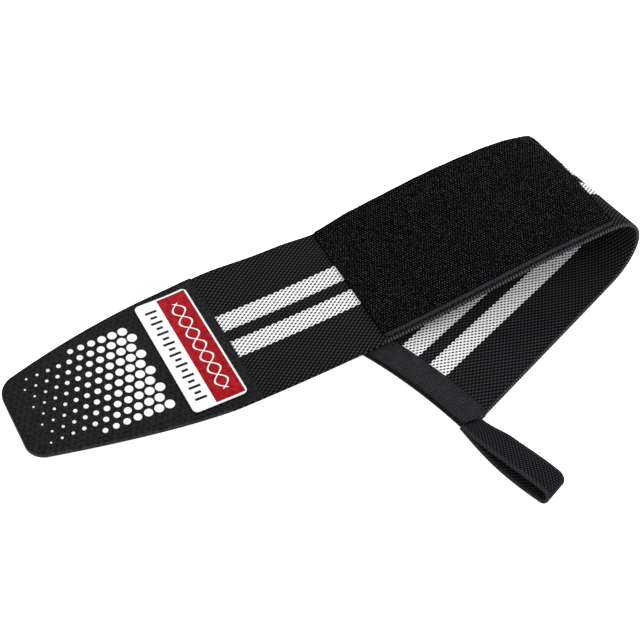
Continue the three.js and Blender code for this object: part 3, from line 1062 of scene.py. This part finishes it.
def pile_lift(along, across, height):
    """On the top face only: small dents and swells, two waves that cross, and a smooth roll beside the
    near edge, half a wave of a cosine that is as wide as the roll."""
    waves = np.sin(along / (2.1 * MM) + 2 * np.sin(across / (7 * MM))) * np.sin(across / (1.9 * MM))
    from_roll = np.clip((across - PILE_HIGH[1] + ROLL_WIDTH / 2) / ROLL_WIDTH * 2, -1, 1)
    roll = ROLL_RISE * np.cos(from_roll * math.pi / 2)
    return (PILE_SWELL * waves + roll) * (height > PILE_BOTTOM + 0.3 * MM)


pile_middle = (PILE_LOW[1] + PILE_HIGH[1]) / 2
pile_reach = (PILE_HIGH[1] - PILE_LOW[1]) / 2
pile_cut = round_rectangle(PILE_START, PILE_END, pile_reach, PILE_CORNER, middle=pile_middle)
pile_rim = round_rim(PILE_BOTTOM + PILE_THICKNESS - LOOP_RISE, PILE_BOTTOM, 0.35 * MM, depth=2.2 * MM)
pile_spine = ((PILE_START + pile_reach, pile_middle), (PILE_END - pile_reach, pile_middle))
pile = plate(
    "pile_ground", pile_cut, pile_rim, pile_spine, pile_material(), "loop_pile_patch",
    steps=34, lift=pile_lift,
)

# %% Pile loops
LOOP_STEP = 1.4 * MM
LOOP_ROW = 0.87 * LOOP_STEP
LOOP_THREAD = 0.14 * MM
LOOP_RINGS = 5
LOOP_ROUNDS = 4


def pile_loops(seed=7):
    """An arch at each staggered place, moved and turned at random. Its middle line is half an ellipse,
    and a small square of points is carried along it."""
    chance = np.random.default_rng(seed)
    size = PILE_HIGH - PILE_LOW - [1.4 * MM, 0.5 * MM + ROLL_WIDTH]
    counts = (size / [LOOP_STEP, LOOP_ROW]).astype(int)
    column, row = np.meshgrid(np.arange(counts[0]), np.arange(counts[1]), indexing="ij")
    place = np.stack([column + 0.5 * (row % 2), row], -1).reshape(-1, 2) / counts * size
    place = PILE_LOW + 0.6 * MM + place + chance.normal(0, 0.08 * MM, place.shape)
    from_end = np.minimum(place[:, 0] - PILE_START, PILE_END - place[:, 0])
    place = place[place[:, 1] > PILE_LOW[1] + 0.5 * MM + round_corner(from_end, 2 * PILE_CORNER)]
    count = len(place)
    turn = chance.normal(0.9, 0.4, count)
    reach = chance.uniform(0.24, 0.38, count) * MM
    rise = chance.uniform(0.6, 1.0, count) * LOOP_RISE
    lean = chance.normal(0, 0.12, (count, 2)) * MM
    angle = np.linspace(0, math.pi, LOOP_RINGS)[None, :, None]
    corner = (np.arange(LOOP_ROUNDS) / LOOP_ROUNDS * 2 * math.pi)[None, None, :]
    thicker = LOOP_THREAD * np.cos(corner)
    go = -(reach[:, None, None] + thicker) * np.cos(angle)
    level = (rise[:, None, None] + thicker) * np.sin(angle)
    aside = np.broadcast_to(LOOP_THREAD * np.sin(corner), go.shape)
    heading = np.stack([np.cos(turn), np.sin(turn)], -1)[:, None, None, :]
    normal = np.stack([-np.sin(turn), np.cos(turn)], -1)[:, None, None, :]
    flat = place[:, None, None, :] + go[..., None] * heading + aside[..., None] * normal
    flat = flat + lean[:, None, None, :] * np.sin(angle)[..., None]
    base = PILE_BOTTOM + PILE_THICKNESS - LOOP_RISE - 0.1 * MM
    points = lay(flat[..., 0], flat[..., 1], base + level)
    foot = np.arange(LOOP_ROUNDS)[None, :]
    far_foot = foot + (LOOP_RINGS - 1) * LOOP_ROUNDS
    one = np.concatenate([grid_faces(LOOP_RINGS, LOOP_ROUNDS), foot[:, ::-1], far_foot])
    faces = one[None] + (np.arange(count) * LOOP_RINGS * LOOP_ROUNDS)[:, None, None]
    print(count, "loops")
    return points, faces.reshape(-1, 4), flat


def loop_material():
    """Dark yarn with painted highlights: lighter spots, a soft step over fine noise."""
    material, tree = finish("pile_loop_yarn", roughness=0.8)
    # Painted highlights: lighter spots on the dark loop yarn.
    lit_yarn = noise(tree, 0.55 * MM).ramp(0.3, 0.75)
    paint(tree, blend(tree, lit_yarn, ink(5, 5, 6), ink(112, 112, 116)))
    return material


points, faces, flat = pile_loops()
new_piece("pile_loops", points, faces, flat, loop_material())

# %% [markdown]
# ## The binding and the thumb loop
#
# A folded tape closes the band's cut end, and a narrow ribbed strap leaves it sideways, turns over and
# comes back. The tape is one section, a hairpin with a round nose, carried across the width. The strap is
# a flat section carried along its path. Its ribs are real, since the section grows and shrinks once for
# each rib, and the small beads of yarn on them are the same kind of formula as the holes of the knit.


# %% Tape
def tape_material():
    """Rows and weft are waves across and along, made uneven by two noises. Painted shade darkens the fold.
    """
    material, tree = finish("twill_tape", roughness=0.8)
    along, across = flat_place(tree)
    fine = noise(tree, 0.4 * MM, detail=3)
    worn = noise(tree, 4 * MM)
    rows = (across + along * 0.3 + worn * 1.5).wave(1.0)
    weft = along.wave(0.8)
    share = (rows * 0.45 + weft * 0.2 + 0.4) * (fine * 1.5) * (worn * 0.9 + 0.45)
    cloth = blend(tree, share, ink(2, 2, 3), ink(80, 80, 84))
    nose = WRAP_LENGTH / MM
    # Painted shade: the round nose of the fold is darkened, as it turns away from the light.
    fold_shade = along.ramp(nose - 1.4, nose - 0.5)
    paint(tree, blend(tree, fold_shade * 0.8, cloth, ink(4, 4, 5)))
    emboss(tree, rows * 0.5 + weft * 0.2 + fine * 0.3, 0.3 * MM)
    return material


TAPE_SEAM = 2 * MM
TAPE_DIP = 0.2 * MM
TAPE_SWELL = 0.05 * MM
TAPE_ROW = 3.15 * MM
LEG_STEPS = 18
NOSE_STEPS = 13


def end_tape():
    """The outside of the hairpin is a leg, half a circle and a leg back. The inside is the same, one
    tape's thickness nearer the band, and the two join at the cut edges."""
    inner, outer = HALF_BAND + LAYER_GAP, HALF_BINDING
    centre = WRAP_LENGTH - outer
    legs = np.linspace(BINDING_START, centre, LEG_STEPS)
    angle = np.linspace(math.pi / 2, -math.pi / 2, NOSE_STEPS)[1:-1]

    def hairpin(radius, edge):
        along = np.concatenate([legs, centre + radius * np.cos(angle), legs[::-1]])
        level = np.full(LEG_STEPS, radius)
        height = np.concatenate([level, radius * np.sin(angle), -level])
        height[[0, -1]] += np.array([-1, 1]) * edge
        return along, height

    out_along, out_height = hairpin(outer, 0.15 * MM)
    in_along, in_height = hairpin(inner, 0)
    ring_along = np.concatenate([out_along, in_along[::-1]])[None, :]
    ring_height = np.concatenate([out_height, in_height[::-1]])[None, :]
    share = np.linspace(-1, 1, 97)[:, None]
    across = share * half_width_at(ring_along)
    dip = bell(ring_along, {"place": BINDING_START + TAPE_SEAM, "reach": 0.7 * MM, "out": TAPE_DIP})
    swell = TAPE_SWELL * np.sin(across / TAPE_ROW * 2 * math.pi)
    outside = np.arange(ring_along.shape[1])[None, :] < out_along.size
    height = ring_height + (swell - dip) * outside * np.sign(ring_height)
    flat = np.stack(np.broadcast_arrays(ring_along, across), -1)
    return lay(ring_along, across, height), flat


def capped(points, flat, name, material, node):
    """A carried ring, closed at both ends by cells that join the outside's points to the inside's."""
    rows, columns = points.shape[:2]
    half = columns // 2
    k = np.arange(half - 1)
    cap = np.stack([k, k + 1, columns - 2 - k, columns - 1 - k], -1)
    faces = np.concatenate([grid_faces(rows, columns), cap[:, ::-1], cap + (rows - 1) * columns])
    return new_piece(name, points, faces, flat, material, node)


points, flat = end_tape()
tape = capped(points, flat, "end_tape", tape_material(), "end_binding")

# %% Stitches of the tape and of the pile
TAPE_STITCHES = 31
share = np.linspace(-0.97, 0.97, TAPE_STITCHES)
along = np.full(TAPE_STITCHES, BINDING_START + TAPE_SEAM)
row = np.stack([along, share * half_width_at(along)], -1)
for side, sign in (("upper", -1), ("lower", 1)):
    level = sign * (HALF_BINDING - TAPE_DIP + STITCH_RISE)
    thread_rows("tape_stitches_" + side, row, level, (0, 1), 1.8 * MM, 0.4 * MM, THREAD)

whip_along = np.arange(PILE_START + 1 * MM, PILE_END, HOLE_STEP_ALONG / 2 * MM)
whips = np.stack([whip_along, np.full(whip_along.shape, HALF_WIDTH - 1.1 * MM)], -1)
whip_level = HALF_BAND + 0.15 * MM
thread_rows(
    "pile_edge_stitches", whips, whip_level, (0.35, 1), 1.6 * MM, 0.42 * MM, THREAD,
)

# %% Strap
STRAP_WIDTH = 13.5 * MM
STRAP_HEM_WIDTH = 10.5 * MM
STRAP_THICKNESS = 1.5 * MM
LOOP_REACH = 47.5 * MM
LOOP_HEIGHT = 8.6 * MM
LOOP_SLANT = math.radians(7.2)
RIB_STEP = 1.1 * MM
RIB_DEPTH = 0.16
STRAP_COLUMN = 1.7
LOWER_BOW = 2.6 * MM
UPPER_BOW = 0.9 * MM
RUN_STEPS = 110
TURN_STEPS = 38


def strap_path():
    """The strap's middle line, as share of the way out, bulge past the turn, height and turn of the
    section. It rises from the binding, goes round half a circle, and comes back down to the table."""
    half = STRAP_THICKNESS / 2
    leave = HALF_BINDING + LAYER_GAP / 2 + half
    come_back = HALF_BINDING - LAYER_GAP / 2 - half
    top = LOOP_HEIGHT - half
    radius = (top - half) / 2
    out = np.linspace(0, 1, RUN_STEPS)
    angle = np.linspace(math.pi / 2, -math.pi / 2, TURN_STEPS + 2)[1:-1]
    share = np.concatenate([out, np.ones(TURN_STEPS), out[::-1]])
    bulge = np.concatenate([0 * out, radius * np.cos(angle), 0 * out])
    rise = leave + (top - leave) * smooth(out * 1.1)
    fall = come_back + (half - come_back) * smooth(out * 2)
    height = np.concatenate([rise, half + radius + radius * np.sin(angle), fall[::-1]])
    quarter = np.full(RUN_STEPS, math.pi / 2)
    turn = np.concatenate([quarter, angle, -quarter])
    return share, bulge, height, turn, HALF_WIDTH + LOOP_REACH - radius - half


def strap():
    """The stadium section, moved off the middle line at a right angle. A cosine of the running length
    makes the ribs, and fades out over the smooth edges. The hem gathers the strap, and both runs bow
    outwards by a sine of the way out, the lower one more."""
    share, bulge, height, turn, reach = (np.asarray(part)[..., None] for part in strap_path())
    side, out, up = (part[None, :] for part in stadium(columns=17, turns=3))
    half = STRAP_THICKNESS / 2
    width = STRAP_HEM_WIDTH + (STRAP_WIDTH - STRAP_HEM_WIDTH) * smooth(2.5 * share)
    hem_along = WRAP_LENGTH - width / 2 + side * (width / 2 - half) + out * half
    start = half_width_at(np.minimum(hem_along, WRAP_LENGTH)) + LAYER_GAP
    middle = start + (reach - start) * share + bulge
    step = np.hypot(np.diff(middle, axis=0), np.diff(height, axis=0))
    run = np.concatenate([np.zeros((1, middle.shape[1])), np.cumsum(step, 0)])
    ribs = 0.5 - 0.5 * np.cos(run / RIB_STEP * 2 * math.pi)
    inner = smooth((1 - np.abs(side)) / 0.14)
    off = up * half * (1 - RIB_DEPTH * ribs * inner)
    across = middle + off * np.cos(turn)
    lower = (1 - np.sin(turn)) / 2
    lower_bow = LOWER_BOW * lower * np.sin(0.9 * math.pi * share)
    upper_bow = UPPER_BOW * (1 - lower) * np.sin(math.pi * share)
    along = hem_along + (across - start) * math.tan(LOOP_SLANT) + lower_bow + upper_bow
    points = lay(along, across)
    points[..., 2] = height + off * np.sin(turn) + ORIGIN[2]
    from_middle = STRAP_WIDTH / 2 * side + out * half
    return points, np.stack(np.broadcast_arrays(run, from_middle), -1)


def strap_material():
    """Beads of yarn: two slanted waves, one stronger, over dark cloth, with a smooth edge on each side."""
    material, tree = finish("ribbed_webbing", roughness=0.78)
    run, width = flat_place(tree)
    fine = noise(tree, 0.4 * MM, detail=3)
    rib, column = run * (MM / RIB_STEP / 2), width * (1 / STRAP_COLUMN)
    beads = (rib + column).wave(1) * 0.57 + (rib - column).wave(1) * 0.43
    edge = STRAP_WIDTH / MM / 2
    smooth_edge = width.size().ramp(edge - 1.1, edge - 0.6)
    yarn = (-beads).ramp(-0.1, 0.7).most(smooth_edge * 0.4) * (fine * 1.3 + 0.2)
    paint(tree, blend(tree, yarn, ink(0, 0, 1), ink(66, 66, 70)))
    emboss(tree, yarn + fine * 0.2, 0.3 * MM)
    return material


points, flat = strap()
strap_piece = ring_piece("thumb_strap", points, flat, strap_material(), "thumb_loop")
